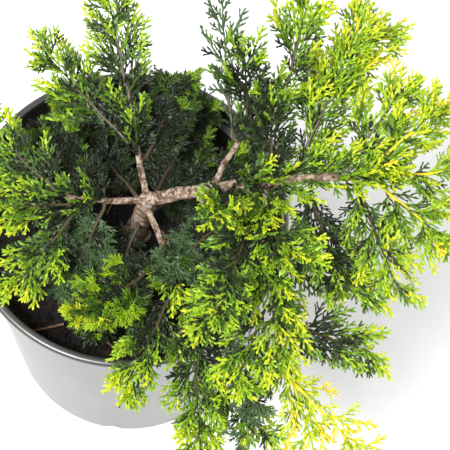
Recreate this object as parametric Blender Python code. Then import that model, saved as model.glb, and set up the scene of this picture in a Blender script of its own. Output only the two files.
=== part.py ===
"""Potted golden pfitzer juniper: a spreading shrub in a nursery pot, modelled in metres with +Z up.

The origin is the centre of the pot's flat underside. +X is the side that the main bough leans to, and -Y is
the front. The pot, the potting mix, the trunk, each bough and each mass of foliage is an object of its own.
"""

import math
import random
from collections import namedtuple

import bmesh
import bpy
import numpy as np

MM = 0.001
GAP = 0.3 * MM

# Pot, from its flat underside up.
POT_HEIGHT = 161 * MM
POT_LIP_RADIUS = 82.5 * MM
POT_LIP_HEIGHT = 4 * MM
POT_COLLAR_RADIUS = 79.6 * MM
POT_COLLAR_FOOT = 146 * MM
POT_SHOULDER_RADIUS = 76.8 * MM
POT_BASE_RADIUS = 67.5 * MM
POT_CORNER = 3 * MM
POT_STEP = 2 * MM
POT_EDGE = 1 * MM
POT_WALL = 1.5 * MM
POT_FLOOR = 2.0 * MM
POT_SEGMENTS = 40
DRAIN_HOLES = 6
DRAIN_HOLE_RADIUS = 5 * MM
DRAIN_HOLE_SIDES = 12
DRAIN_REACH = 8 * MM

# Potting mix, which fills the pot to a little under the inner ledge.
SOIL_TOP = 133 * MM
SOIL_LUMP = 1.6 * MM
SOIL_SEAT = 14 * MM
SOIL_SEGMENTS = 36
SOIL_RINGS = 5

# Trunk, from its flat cut on the potting mix to its fork.
TRUNK_FOOT = (4 * MM, 1 * MM)
TRUNK_LENGTH = 50 * MM
TRUNK_HEADING = -8
TRUNK_CLIMB = 82
TRUNK_FLARE_RADIUS = 7.6 * MM
TRUNK_RADIUS = 4.7 * MM
TRUNK_COLLAR = 3 * MM
TRUNK_SHARES = (0.15, 0.4, 0.65, 0.85, 0.95, 1.0)
TRUNK_THICKNESSES = (1.12, 1.02, 0.97, 1.03, 0.86, 0.45)
TRUNK_SIDES = 10

# Boughs, in mm and degrees. A bough leaves its host at a share of the host's length. Heading is measured from
# +X towards +Y and climb from the horizon, both halfway along; turn and lift are how far each swings over the
# length, and zigzag is how far the bough turns to and fro at its buds.
Bough = namedtuple("Bough", "name host station heading climb length foot_radius tip_radius turn lift zigzag")
BOUGHS = (
    Bough("bough_right", "trunk", 0.95, 3, 23.5, 128, 3.4, 1.5, -8, -10, 5),
    Bough("bough_left", "trunk", 0.93, 194, 18, 43, 1.8, 1.2, -14, 6, 3),
    Bough("bough_rear", "trunk", 0.90, 111, 33, 43, 1.7, 1.2, -6, -8, 3),
    Bough("bough_front", "trunk", 0.84, -61, 0, 60, 1.6, 1.1, 3, -8, 3),
    Bough("bough_rear_right", "bough_right", 0.27, 55, 35, 60, 1.5, 1.0, -28, 0, 5),
    Bough("bough_inner", "bough_right", 0.205, -50, -7, 18, 1.3, 1.0, 0, 0, 2),
    Bough("bough_lower", "bough_right", 0.42, -74, -5, 88, 1.6, 1.0, -18, -22, 4),
    Bough("bough_centre", "bough_right", 0.50, -87, 14, 22, 1.3, 1.0, 6, 0, 2),
)
BOUGH_STEP = 8 * MM
BOUGH_SIDES = 8
SIDE_BOUGH_SIDES = 6

# Masses of foliage, in mm and degrees. Each grows from one stem that leaves a bough or the trunk; spread is
# how far its longest twigs stand out from the stem.
Mass = namedtuple("Mass", "name host station heading climb length spread leaf tone")
MASSES = (
    Mass("left_upper", "bough_left", 1.00, 150, 23, 51, 22, "scale", "lime"),
    Mass("left", "bough_left", 0.93, -161, 16, 46, 21, "scale", "gold"),
    Mass("left_front", "bough_left", 0.80, -118, -1, 54, 20, "scale", "lime"),
    Mass("left_low", "bough_left", 0.52, -108, -18, 48, 16, "awl", "blue"),
    Mass("left_rear", "bough_left", 0.66, 138, 0, 47, 17, "awl", "green"),
    Mass("rear_left", "bough_rear", 0.72, 145, 21, 67, 21, "scale", "lime"),
    Mass("rear", "bough_rear", 1.00, 112, 31, 68, 20, "scale", "lime"),
    Mass("rear_side", "bough_rear", 0.50, 75, 10, 50, 18, "awl", "green"),
    Mass("inner_left", "trunk", 0.72, 134, -2, 70, 18, "awl", "green"),
    Mass("inner_rear", "trunk", 0.64, 71, 2, 66, 18, "awl", "green"),
    Mass("inner_right", "trunk", 0.56, 34, 8, 66, 17, "awl", "green"),
    Mass("inner_front_left", "trunk", 0.50, -103, -4, 62, 16, "awl", "green"),
    Mass("upright", "bough_rear_right", 0.45, 104, 31, 74, 14, "scale", "blue"),
    Mass("upright_left", "bough_rear_right", 0.66, 109, 60, 40, 16, "scale", "green"),
    Mass("top_rear", "bough_rear_right", 1.00, 82, 42, 53, 21, "scale", "lime"),
    Mass("top_right", "bough_rear_right", 0.86, 38, 15, 70, 20, "scale", "lime"),
    Mass("right_rear", "bough_right", 0.62, 72, 27, 80, 22, "scale", "lime"),
    Mass("right_rear_end", "bough_right", 0.80, 56, 33, 50, 19, "scale", "lime"),
    Mass("right_end_top", "bough_right", 0.90, 36, 45, 48, 18, "scale", "gold"),
    Mass("right_end", "bough_right", 1.00, 0, 28, 42, 20, "scale", "gold"),
    Mass("right_end_low", "bough_right", 0.94, -36, 3, 56, 20, "scale", "gold"),
    Mass("right_hang", "bough_right", 0.85, -60, -17, 58, 19, "scale", "lime"),
    Mass("right_hang_inner", "bough_right", 0.67, -64, -15, 49, 18, "scale", "green"),
    Mass("top_front", "bough_right", 0.37, -98, 47, 46, 17, "scale", "gold"),
    Mass("top_centre", "bough_right", 0.52, 101, 47, 37, 17, "scale", "green"),
    Mass("centre", "bough_centre", 1.00, -53, 33, 36, 19, "scale", "gold"),
    Mass("centre_left", "bough_inner", 1.00, -129, 2, 37, 16, "awl", "blue"),
    Mass("centre_low", "bough_inner", 0.55, -59, -27, 33, 14, "awl", "blue"),
    Mass("lower_top", "bough_lower", 0.24, -100, 19, 62, 19, "scale", "lime"),
    Mass("lower_left", "bough_lower", 0.45, -125, -7, 45, 19, "scale", "lime"),
    Mass("lower_right", "bough_lower", 0.38, -14, -10, 55, 18, "scale", "green"),
    Mass("lower_middle", "bough_lower", 0.72, -104, -9, 41, 18, "scale", "lime"),
    Mass("lower_side", "bough_lower", 0.80, -4, -20, 51, 17, "scale", "green"),
    Mass("lower_end", "bough_lower", 1.00, -36, -9, 71, 19, "scale", "gold"),
    Mass("lower_end_middle", "bough_lower", 0.95, -63, -19, 61, 17, "scale", "lime"),
    Mass("lower_end_left", "bough_lower", 0.88, -97, -29, 53, 17, "awl", "blue"),
    Mass("front_left", "bough_front", 0.55, -132, 9, 52, 20, "awl", "lime"),
    Mass("front_left_low", "bough_front", 0.82, -107, 1, 58, 20, "scale", "lime"),
    Mass("front", "bough_front", 1.00, -79, -5, 80, 21, "scale", "lime"),
    Mass("front_right", "bough_front", 0.93, -53, -8, 78, 19, "scale", "green"),
)

# Rule by which every mass grows. A shoot is a spike that stands out of a short bud on its twig's slim core.
STEM_STEP = 9 * MM
STEM_RADIUS = 1.4 * MM
STEM_COLLAR = 2.5 * MM
STEM_LIFT = 14
STEM_ZIGZAG = 4
STEM_BARE = 0.66
TWIG_SPACING = 7.8 * MM
TWIG_RADIUS = 1.25 * MM
TWIG_ROOT_RADIUS = 0.6 * MM
TWIG_BARE = 0.24
TWIG_FIRST = 0.14
TWIG_LAST = 0.90
TWIG_ROLL = 48
CORE_SIDES = 3
CORE_TAPER = 0.45
BUD_LENGTH = 2.2 * MM
SHOOT_RADIUS = 0.8 * MM
Leaf = namedtuple("Leaf", "twig_angle shoot_angle shoot_length bud_spacing shoots")
LEAVES = {
    "scale": Leaf(44, 38, 12 * MM, 7.0 * MM, 3),
    "awl": Leaf(50, 55, 8.5 * MM, 5.6 * MM, 3),
}
SHOOT_FLATTEN = 0.35
CLEARANCE = 0.4 * MM
SAMPLE = 0.8 * MM

TONES = {
    "gold": "#BFC92B",
    "lime": "#9DBB2A",
    "green": "#5D8A2C",
    "blue": "#4F6F55",
}
UP = np.array((0.0, 0.0, 1.0))


def clear_scene():
    for old in list(bpy.data.objects):
        bpy.data.objects.remove(old)


def linear(hex_colour):
    """An sRGB hex colour as linear RGBA."""
    channels = [int(hex_colour[i : i + 2], 16) / 255 for i in (1, 3, 5)]
    return [c / 12.92 if c <= 0.04045 else ((c + 0.055) / 1.055) ** 2.4 for c in channels] + [1.0]


def material(name, hex_colour, roughness):
    """A plain Principled material, made once for each name."""
    if name in bpy.data.materials:
        return bpy.data.materials[name]
    made = bpy.data.materials.new(name)
    made.use_nodes = True
    shader = made.node_tree.nodes["Principled BSDF"]
    shader.inputs["Base Color"].default_value = linear(hex_colour)
    shader.inputs["Roughness"].default_value = roughness
    shader.inputs["Metallic"].default_value = 0.0
    made.diffuse_color = linear(hex_colour)
    return made


def add_object(name, mesh, surface=None, location=(0, 0, 0)):
    """Links a mesh as an object, its points given in world metres, with its origin at the location."""
    item = bpy.data.objects.new(name, mesh)
    bpy.context.scene.collection.objects.link(item)
    offset = np.array(location, float)
    for vertex in mesh.vertices:
        vertex.co = np.array(vertex.co) - offset
    item.location = location
    if surface:
        mesh.materials.append(surface)
    return item


def mesh_from(name, build):
    """A mesh made by a function that fills a bmesh, its faces turned outwards."""
    mesh = bpy.data.meshes.new(name)
    shape = bmesh.new()
    build(shape)
    bmesh.ops.recalc_face_normals(shape, faces=shape.faces)
    shape.to_mesh(mesh)
    shape.free()
    return mesh


def bake(item):
    """Puts an object's evaluated mesh in place of its mesh and modifiers."""
    graph = bpy.context.evaluated_depsgraph_get()
    baked = bpy.data.meshes.new_from_object(item.evaluated_get(graph))
    item.modifiers.clear()
    item.data = baked


def combine(body, pieces, operation):
    """Joins the pieces to the body, or cuts them from it, with one Boolean on their collection."""
    group = bpy.data.collections.new(body.name + "_pieces")
    bpy.context.scene.collection.children.link(group)
    for piece in pieces:
        bpy.context.scene.collection.objects.unlink(piece)
        group.objects.link(piece)
    boolean = body.modifiers.new(operation.lower(), "BOOLEAN")
    boolean.operation = operation
    boolean.operand_type = "COLLECTION"
    boolean.collection = group
    boolean.solver = "EXACT"
    bake(body)
    for piece in pieces:
        bpy.data.objects.remove(piece)
    bpy.data.collections.remove(group)


def keep_largest(item):
    """Keeps the largest connected body, without loose scraps or the shells of sealed hollows."""
    shape = bmesh.new()
    shape.from_mesh(item.data)
    left = set(shape.verts)
    bodies = []
    while left:
        front = [left.pop()]
        body = set(front)
        while front:
            for edge in front.pop().link_edges:
                for vertex in edge.verts:
                    if vertex in left:
                        left.remove(vertex)
                        body.add(vertex)
                        front.append(vertex)
        bodies.append(body)
    bodies.sort(key=len, reverse=True)
    scraps = [vertex for body in bodies[1:] for vertex in body]
    bmesh.ops.delete(shape, geom=scraps, context="VERTS")
    shape.to_mesh(item.data)
    shape.free()


def smooth(item, angle):
    item.data.shade_smooth()
    item.data.set_sharp_from_angle(angle=math.radians(angle))


# Turned shapes.


def turned(profile, segments):
    """A function that turns a profile of (radius, height) points, from axis to axis, round +Z."""

    def build(shape):
        rings = []
        for radius, height in profile:
            if radius == 0:
                rings.append([shape.verts.new((0, 0, height))])
                continue
            turns = (2 * math.pi * k / segments for k in range(segments))
            points = ((radius * math.cos(turn), radius * math.sin(turn), height) for turn in turns)
            rings.append([shape.verts.new(point) for point in points])
        for lower, upper in zip(rings, rings[1:]):
            for k in range(segments):
                corners = [lower[k % len(lower)], lower[(k + 1) % len(lower)]]
                corners += [upper[(k + 1) % len(upper)], upper[k % len(upper)]]
                shape.faces.new(list(dict.fromkeys(corners)))

    return build


def rounded(centre_radius, centre_height, size, start, end, steps):
    """Points of a round corner in a profile, its angles in degrees from outwards to upwards."""
    points = []
    for k in range(steps + 1):
        angle = math.radians(start + (end - start) * k / steps)
        points.append((centre_radius + size * math.cos(angle), centre_height + size * math.sin(angle)))
    return points


def pot_inner_radius(height):
    """The pot's inside radius at a height under its inner ledge."""
    share = height / POT_COLLAR_FOOT
    return POT_BASE_RADIUS + (POT_SHOULDER_RADIUS - POT_BASE_RADIUS) * share - POT_WALL


def pot_profile():
    """The pot's section: underside, outer wall, collar, rolled lip, inner ledge, inner wall and floor."""
    roll = POT_LIP_HEIGHT / 2
    shoulder = POT_COLLAR_FOOT - POT_STEP
    lip_inside = POT_COLLAR_RADIUS - POT_WALL
    outside = [(0, 0)]
    outside += rounded(POT_BASE_RADIUS - POT_CORNER, POT_CORNER, POT_CORNER, -90, 0, 2)
    outside += [(POT_SHOULDER_RADIUS, shoulder), (POT_COLLAR_RADIUS - POT_EDGE / 2, POT_COLLAR_FOOT)]
    outside += [(POT_COLLAR_RADIUS, POT_HEIGHT - POT_LIP_HEIGHT - POT_EDGE / 2)]
    outside += rounded(POT_LIP_RADIUS - roll, POT_HEIGHT - roll, roll, -80, 90, 4)
    inside = [(lip_inside + POT_EDGE, POT_HEIGHT), (lip_inside, POT_HEIGHT - POT_EDGE)]
    inside += [(lip_inside, POT_COLLAR_FOOT + POT_EDGE), (pot_inner_radius(shoulder), shoulder + POT_EDGE)]
    inside += [(pot_inner_radius(POT_FLOOR), POT_FLOOR), (0, POT_FLOOR)]
    return outside + inside


def make_pot():
    """The nursery pot, with drain holes across the corner of its base."""
    plastic = material("pot_plastic", "#4A4846", 0.45)
    pot = add_object("pot", mesh_from("pot", turned(pot_profile(), POT_SEGMENTS)), plastic)
    cutters = []
    for k in range(DRAIN_HOLES):
        turn = 2 * math.pi * (k + 0.5) / DRAIN_HOLES
        drop = np.array((math.cos(turn), math.sin(turn), -1)) * DRAIN_REACH
        corner = np.array((math.cos(turn), math.sin(turn), 0)) * POT_BASE_RADIUS
        mesh = rod("drain", [corner - drop, corner + drop], [DRAIN_HOLE_RADIUS] * 2, DRAIN_HOLE_SIDES)
        cutters.append(add_object("drain", mesh))
    combine(pot, cutters, "DIFFERENCE")
    smooth(pot, 35)
    return pot


def make_soil():
    """The potting mix: a plug with a lumpy top and a flat seat under the trunk."""
    seeded = random.Random(7)
    floor = POT_FLOOR + GAP
    rim = pot_inner_radius(SOIL_TOP) - GAP
    profile = [(0, floor), (pot_inner_radius(floor) - GAP, floor), (rim, SOIL_TOP)]
    for k in range(SOIL_RINGS - 1):
        profile.append((rim + (SOIL_SEAT - rim) * (k + 1) / (SOIL_RINGS - 1), SOIL_TOP))
    profile.append((0, SOIL_TOP))
    mesh = mesh_from("potting_mix", turned(profile, SOIL_SEGMENTS))
    for vertex in mesh.vertices:
        radius = math.hypot(vertex.co.x, vertex.co.y)
        if vertex.co.z > SOIL_TOP - GAP and SOIL_SEAT + MM < radius < rim - MM:
            vertex.co.z += seeded.uniform(-SOIL_LUMP, SOIL_LUMP)
    return add_object("potting_mix", mesh, material("potting_mix", "#2B1C12", 0.95))


# Rods, of which the whole plant is made.


def unit(vector):
    return vector / np.linalg.norm(vector)


def direction(heading, climb):
    heading, climb = math.radians(heading), math.radians(climb)
    level = math.cos(climb)
    return np.array((math.cos(heading) * level, math.sin(heading) * level, math.sin(climb)))


def walk(start, heading, climb, length, step, turn, lift, zigzag):
    """Points of a limb that swings by turn and lift over its length and zigzags at each step."""
    count = max(2, round(length / step))
    points = [np.array(start, float)]
    for k in range(count):
        share = (k + 0.5) / count - 0.5
        swing = heading + turn * share + (zigzag if k % 2 else -zigzag)
        points.append(points[-1] + direction(swing, climb + lift * share) * length / count)
    return points


def along(points, share):
    """The point at a share of a route's length, and the route's direction there."""
    runs = [np.linalg.norm(b - a) for a, b in zip(points, points[1:])]
    left = share * sum(runs)
    for a, b, run in zip(points, points[1:], runs):
        if left <= run or b is points[-1]:
            return a + (b - a) * (left / run), unit(b - a)
        left -= run


def length_of(points):
    return sum(np.linalg.norm(b - a) for a, b in zip(points, points[1:]))


def taper(foot, tip, count):
    return [foot + (tip - foot) * k / (count - 1) for k in range(count)]


def ring_frames(points):
    """Two directions across a route at each of its points, carried along it without a twist."""
    heads = [unit(b - a) for a, b in zip(points, points[1:])]
    tangents = [heads[0]] + [unit(a + b) for a, b in zip(heads, heads[1:])] + [heads[-1]]
    across = np.cross(tangents[0], UP + np.array((0.31, 0.17, 0)))
    frames = []
    for tangent in tangents:
        across = unit(across - tangent * np.dot(across, tangent))
        frames.append((across, np.cross(tangent, across)))
    return frames


def around(frame, turn):
    return frame[0] * math.cos(turn) + frame[1] * math.sin(turn)


def rod(name, points, radii, sides, tips=None):
    """A mesh that runs through the points, cut flat at its foot and cut flat or pointed at its tip.

    Tips gives, for a segment and a side, the point of a shoot that stands out of that face.
    """
    tips = tips or {}

    def build(shape):
        rings = []
        for point, radius, frame in zip(points, radii, ring_frames(points)):
            if radius == 0:
                rings.append([shape.verts.new(point)])
                continue
            turns = (2 * math.pi * k / sides for k in range(sides))
            rings.append([shape.verts.new(point + radius * around(frame, turn)) for turn in turns])
        shape.faces.new(rings[0][::-1])
        for segment, (lower, upper) in enumerate(zip(rings, rings[1:])):
            for k in range(sides):
                corners = [lower[k], lower[(k + 1) % sides]]
                corners += [upper[(k + 1) % len(upper)], upper[k % len(upper)]]
                corners = list(dict.fromkeys(corners))
                if (segment, k) not in tips:
                    shape.faces.new(corners)
                    continue
                tip = shape.verts.new(tips[segment, k])
                for a, b in zip(corners, corners[1:] + corners[:1]):
                    shape.faces.new((a, b, tip))
        if len(rings[-1]) > 1:
            shape.faces.new(rings[-1])

    return mesh_from(name, build)


# Trunk and boughs.

Limb = namedtuple("Limb", "points radii sides")


def plan_trunk():
    """The trunk: a flare on a level foot, a true taper, and a low round knot at the fork."""
    foot = np.array((*TRUNK_FOOT, SOIL_TOP + GAP))
    collar = foot + UP * TRUNK_COLLAR
    run = direction(TRUNK_HEADING, TRUNK_CLIMB) * (TRUNK_LENGTH - TRUNK_COLLAR)
    points = [foot, collar] + [collar + run * share for share in TRUNK_SHARES]
    flare = [TRUNK_FLARE_RADIUS, 0.5 * (TRUNK_FLARE_RADIUS + TRUNK_RADIUS)]
    radii = flare + [TRUNK_RADIUS * thickness for thickness in TRUNK_THICKNESSES]
    return Limb(points, radii, TRUNK_SIDES)


def plan_limbs():
    """Every limb's route, each bough from the middle of its host."""
    limbs = {"trunk": plan_trunk()}
    for bough in BOUGHS:
        host = limbs[bough.host]
        start, _ = along(host.points, bough.station)
        swing = (bough.turn, bough.lift, bough.zigzag)
        points = walk(start, bough.heading, bough.climb, bough.length * MM, BOUGH_STEP, *swing)
        radii = taper(bough.foot_radius * MM, bough.tip_radius * MM, len(points))
        limbs[bough.name] = Limb(points, radii, BOUGH_SIDES if bough.host == "trunk" else SIDE_BOUGH_SIDES)
    return limbs


def room_round(limb):
    """A limb grown by the gap, to cut its neighbours clear of it."""
    return add_object("room", rod("room", limb.points, [radius + GAP for radius in limb.radii], limb.sides))


def make_limbs(limbs):
    """The trunk and boughs; a bough's foot is hollowed to its host and elder neighbours, clear of them."""
    bark = material("bark", "#8E7461", 0.85)
    hosts = {bough.name: bough.host for bough in BOUGHS}
    made = []
    for name, limb in limbs.items():
        mesh = rod(name, limb.points, limb.radii, limb.sides)
        item = add_object(name, mesh, bark, limb.points[0])
        elders = [other.name for other in made if hosts.get(name) in (other.name, hosts.get(other.name))]
        if elders:
            combine(item, [room_round(limbs[elder]) for elder in elders], "DIFFERENCE")
            keep_largest(item)
        smooth(item, 60)
        made.append(item)
    return made


# Foliage.

Spray = namedtuple("Spray", "points radii tips")


def plan_route(mass, limbs):
    """A mass's stem: a short collar that stands square on its host, then a rising run to its tip."""
    host = limbs[mass.host]
    centre, ahead = along(host.points, mass.station)
    aim = direction(mass.heading, mass.climb - STEM_LIFT / 2)
    if mass.station >= 1:
        out = ahead
        foot = centre + out * GAP
        radius = host.radii[-1]
    else:
        out = unit(aim - ahead * np.dot(aim, ahead))
        thick = host.radii[round(mass.station * (len(host.radii) - 1))]
        foot = centre + out * (thick + GAP)
        radius = min(STEM_RADIUS, 0.8 * thick)
    collar = foot + out * STEM_COLLAR
    run = mass.length * MM - STEM_COLLAR
    route = walk(collar, mass.heading, mass.climb, run, STEM_STEP, 0, STEM_LIFT, STEM_ZIGZAG)
    return [foot] + route, radius


def plan_spray(route, radius, bare, leaf, seeded, root_radius=None):
    """A tapering core along a route, with shoots that stand out of its buds beyond its bare share."""
    length = length_of(route)
    count = max(1, round(length * (1 - bare) / leaf.bud_spacing))
    half_bud = 0.5 * BUD_LENGTH / length
    shares = [0.0]
    if not root_radius:
        runs = np.cumsum([np.linalg.norm(b - a) for a, b in zip(route, route[1:])]) / length
        shares += [run for run in runs if run < bare]
    buds = []
    for k in range(count):
        middle = bare + (0.96 - bare) * (k + seeded.uniform(0.3, 0.6)) / count
        buds.append(len(shares))
        shares += [middle - half_bud, middle + half_bud]
    shares.append(1.0)
    points = [along(route, share)[0] for share in shares]
    radii = [radius * (1 - CORE_TAPER * share) for share in shares]
    radii[0] = root_radius or radius
    radii[-1] = 0
    frames = ring_frames(points)
    tips = {}
    for k, bud in enumerate(buds):
        ahead = unit(points[bud + 1] - points[bud])
        for shoot in range(leaf.shoots):
            side = (k + shoot) % CORE_SIDES
            out = around(frames[bud], 2 * math.pi * (side + 0.5) / CORE_SIDES)
            out = unit(out - UP * out[2] * SHOOT_FLATTEN)
            angle = math.radians(leaf.shoot_angle + seeded.uniform(-8, 8))
            reach = leaf.shoot_length * (1.15 - 0.5 * shares[bud]) * seeded.uniform(0.8, 1.15)
            foot = (points[bud] + points[bud + 1]) / 2
            tips[bud, side] = foot + (ahead * math.cos(angle) + out * math.sin(angle)) * reach
    return Spray(points, radii, tips)


def plume(share):
    """How long a side twig is for its place on the stem: widest at a third, narrow at the tip."""
    return min(1.0, 0.6 + 1.3 * share) * (1.0 - 0.62 * max(0.0, share - 0.3) ** 1.1)


def plan_twigs(mass, number, route):
    """The side twigs of a mass, by the rule and the mass's own seed."""
    leaf = LEAVES[mass.leaf]
    count = max(4, round(mass.length * MM * (TWIG_LAST - TWIG_FIRST) / TWIG_SPACING))
    for k in range(count):
        seeded = random.Random(1000 * number + k)
        share = TWIG_FIRST + (TWIG_LAST - TWIG_FIRST) * (k + seeded.uniform(-0.3, 0.3)) / (count - 1)
        foot, ahead = along(route, min(max(share, 0.1), 0.95))
        level = unit(np.cross(ahead, UP))
        above = np.cross(level, ahead)
        roll = math.radians(180 * (k % 2) + seeded.uniform(-TWIG_ROLL, TWIG_ROLL))
        side = level * math.cos(roll) + above * math.sin(roll)
        angle = math.radians(leaf.twig_angle * (1.15 - 0.45 * share) + seeded.uniform(-6, 6))
        length = mass.spread * MM * plume(share) * seeded.uniform(0.85, 1.12)
        first = unit(ahead * math.cos(angle) + side * math.sin(angle))
        second = unit(first + ahead * 0.28 + UP * seeded.uniform(-0.1, 0.16))
        middle = foot + first * length * 0.5
        twig = [foot, middle, middle + second * length * 0.5]
        yield plan_spray(twig, TWIG_RADIUS, TWIG_BARE, leaf, seeded, TWIG_ROOT_RADIUS)


def sampled(points, radii):
    """Points close together along a rod, with the rod's radius at each."""
    places, sizes = [], []
    for a, b, thick, thin in zip(points, points[1:], radii, radii[1:]):
        count = max(1, math.ceil(np.linalg.norm(b - a) / SAMPLE))
        for k in range(count + 1):
            places.append(a + (b - a) * k / count)
            sizes.append(thick + (thin - thick) * k / count)
    return np.array(places), np.array(sizes)


def over_the_pot(places, sizes):
    """True where a rod stays above the potting mix and off the pot's wall and lip."""
    radius = np.hypot(places[:, 0], places[:, 1])
    near = sizes + 2 * CLEARANCE
    in_mix = (places[:, 2] < SOIL_TOP + SOIL_LUMP + near) & (radius < POT_LIP_RADIUS)
    in_wall = (
        (places[:, 2] < POT_HEIGHT + near)
        & (radius > pot_inner_radius(SOIL_TOP) - near)
        & (radius < POT_LIP_RADIUS + near)
    )
    return not (in_mix | in_wall).any()


def clear_of(places, sizes, taken):
    """True where a rod keeps its clearance from everything that other objects have taken."""
    for others, thicknesses in taken:
        apart = np.linalg.norm(places[:, None, :] - others[None, :, :], axis=2)
        if (apart < sizes[:, None] + thicknesses[None, :] + CLEARANCE).any():
            return False
    return True


def core_of(spray):
    return sampled(spray.points, spray.radii)


def shoot_of(spray, bud, tip):
    """The samples of one shoot, from the middle of its bud to its point."""
    foot = (spray.points[bud] + spray.points[bud + 1]) / 2
    return sampled([foot, tip], [SHOOT_RADIUS, 0])


def trim(spray, taken):
    """A spray without the shoots that would touch another object or the pot."""
    tips = {}
    for (bud, side), tip in spray.tips.items():
        places, sizes = shoot_of(spray, bud, tip)
        if over_the_pot(places, sizes) and clear_of(places, sizes, taken):
            tips[bud, side] = tip
    return spray._replace(tips=tips)


def room_of(spray):
    """Everything that a spray fills, as samples."""
    rods = [core_of(spray)] + [shoot_of(spray, bud, tip) for (bud, _), tip in spray.tips.items()]
    return np.concatenate([places for places, _ in rods]), np.concatenate([sizes for _, sizes in rods])


def plan_masses(limbs):
    """The sprays of every mass, its stem's first, none of them touching another object."""
    routes = {mass.name: plan_route(mass, limbs) for mass in MASSES}
    rooms = {name: [sampled(limb.points, limb.radii)] for name, limb in limbs.items()}
    rooms.update({name: [sampled(route, [radius] * len(route))] for name, (route, radius) in routes.items()})
    planned = {}
    for number, mass in enumerate(MASSES):
        taken = [room for name, kept in rooms.items() if name != mass.name for room in kept]
        route, radius = routes[mass.name]
        stem = trim(plan_spray(route, radius, STEM_BARE, LEAVES[mass.leaf], random.Random(number)), taken)
        sprays = [stem]
        for twig in plan_twigs(mass, number, route):
            places, sizes = core_of(twig)
            if over_the_pot(places, sizes) and clear_of(places, sizes, taken):
                sprays.append(trim(twig, taken))
        rooms[mass.name] = [room_of(spray) for spray in sprays]
        planned[mass.name] = sprays
    return planned


def make_mass(mass, sprays):
    """One mass as a single solid: its stem with every side twig joined on."""
    surface = material("foliage_" + mass.tone, TONES[mass.tone], 0.6)
    stem, twigs = sprays[0], sprays[1:]
    mesh = rod("stem", stem.points, stem.radii, CORE_SIDES, stem.tips)
    body = add_object("mass_" + mass.name, mesh, surface, stem.points[0])
    pieces = [
        add_object(f"twig_{k}", rod("twig", twig.points, twig.radii, CORE_SIDES, twig.tips))
        for k, twig in enumerate(twigs)
    ]
    combine(body, pieces, "UNION")
    keep_largest(body)
    smooth(body, 40)
    return body


def main():
    clear_scene()
    plant = bpy.data.objects.new("plant", None)
    bpy.context.scene.collection.objects.link(plant)
    limbs = plan_limbs()
    planned = plan_masses(limbs)
    items = [make_pot(), make_soil()] + make_limbs(limbs)
    items += [make_mass(mass, planned[mass.name]) for mass in MASSES]
    for item in items:
        item.parent = plant


main()
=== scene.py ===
"""The looks of a potted golden pfitzer juniper: bark, sprays, potting mix, pot, floor, light and camera.

The boughs and stems follow the same rule and the same seeds as the part's source, and are carried on here
to finer twigs and to sprays of scale leaves and awl leaves. Metres, +Z up, -Y the front.
"""

import math
import random
from collections import namedtuple

import bpy
import numpy as np
from mathutils import Matrix, Vector


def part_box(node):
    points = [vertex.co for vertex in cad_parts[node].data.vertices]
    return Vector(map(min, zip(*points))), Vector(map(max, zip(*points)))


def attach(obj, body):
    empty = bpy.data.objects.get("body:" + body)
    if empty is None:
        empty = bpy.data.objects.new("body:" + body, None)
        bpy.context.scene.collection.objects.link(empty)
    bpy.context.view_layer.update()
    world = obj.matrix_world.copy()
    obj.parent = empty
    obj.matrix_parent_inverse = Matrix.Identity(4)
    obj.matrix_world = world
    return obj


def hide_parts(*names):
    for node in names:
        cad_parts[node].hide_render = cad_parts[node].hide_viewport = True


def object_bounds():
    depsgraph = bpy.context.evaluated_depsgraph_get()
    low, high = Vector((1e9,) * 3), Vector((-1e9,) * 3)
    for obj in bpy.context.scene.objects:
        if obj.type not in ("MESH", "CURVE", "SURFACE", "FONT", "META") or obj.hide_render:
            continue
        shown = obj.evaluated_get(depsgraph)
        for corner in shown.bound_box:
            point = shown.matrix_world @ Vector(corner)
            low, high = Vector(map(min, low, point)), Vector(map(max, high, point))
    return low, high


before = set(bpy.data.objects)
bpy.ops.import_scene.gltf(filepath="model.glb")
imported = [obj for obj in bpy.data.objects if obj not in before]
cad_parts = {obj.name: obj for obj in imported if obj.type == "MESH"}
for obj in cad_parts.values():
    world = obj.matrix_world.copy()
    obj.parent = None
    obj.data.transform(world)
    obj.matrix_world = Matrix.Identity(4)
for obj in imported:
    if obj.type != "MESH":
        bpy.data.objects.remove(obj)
cad_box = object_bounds()

MM = 0.001
GAP = 0.3 * MM
UP = np.array((0.0, 0.0, 1.0))
FULL_TURN = 360
HALF_TURN = 180
QUARTER_TURN = 90

# Pot and potting mix, as in the part's source, but turned in finer steps. The inner radius is the room that
# crumbs, sticks and sprays have over the mix, a little less than the pot's own.
POT_HEIGHT = 161 * MM
POT_LIP_RADIUS = 82.5 * MM
POT_LIP_HEIGHT = 4 * MM
POT_COLLAR_RADIUS = 79.6 * MM
POT_COLLAR_FOOT = 146 * MM
POT_SHOULDER_RADIUS = 76.8 * MM
POT_BASE_RADIUS = 67.5 * MM
POT_CORNER = 3 * MM
POT_STEP = 2 * MM
POT_EDGE = 1 * MM
POT_WALL = 1.5 * MM
POT_FLOOR = 2 * MM
POT_INNER_RADIUS = 73.7 * MM
POT_SEGMENTS = 192
DRAIN_HOLES = 6
DRAIN_HOLE_RADIUS = 5 * MM
DRAIN_HOLE_SIDES = 32
DRAIN_REACH = 8 * MM
SOIL_TOP = 133 * MM
SOIL_LUMP = 1.6 * MM

# Trunk, as in the part's source.
TRUNK_FOOT = (4 * MM, 1 * MM)
TRUNK_LENGTH = 50 * MM
TRUNK_HEADING = -8
TRUNK_CLIMB = 82
TRUNK_FLARE_RADIUS = 7.6 * MM
TRUNK_RADIUS = 4.7 * MM
TRUNK_COLLAR = 3 * MM
TRUNK_SHARES = (0.15, 0.4, 0.65, 0.85, 0.95, 1.0)
TRUNK_THICKNESSES = (1.12, 1.02, 0.97, 1.03, 0.86, 0.45)

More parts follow.
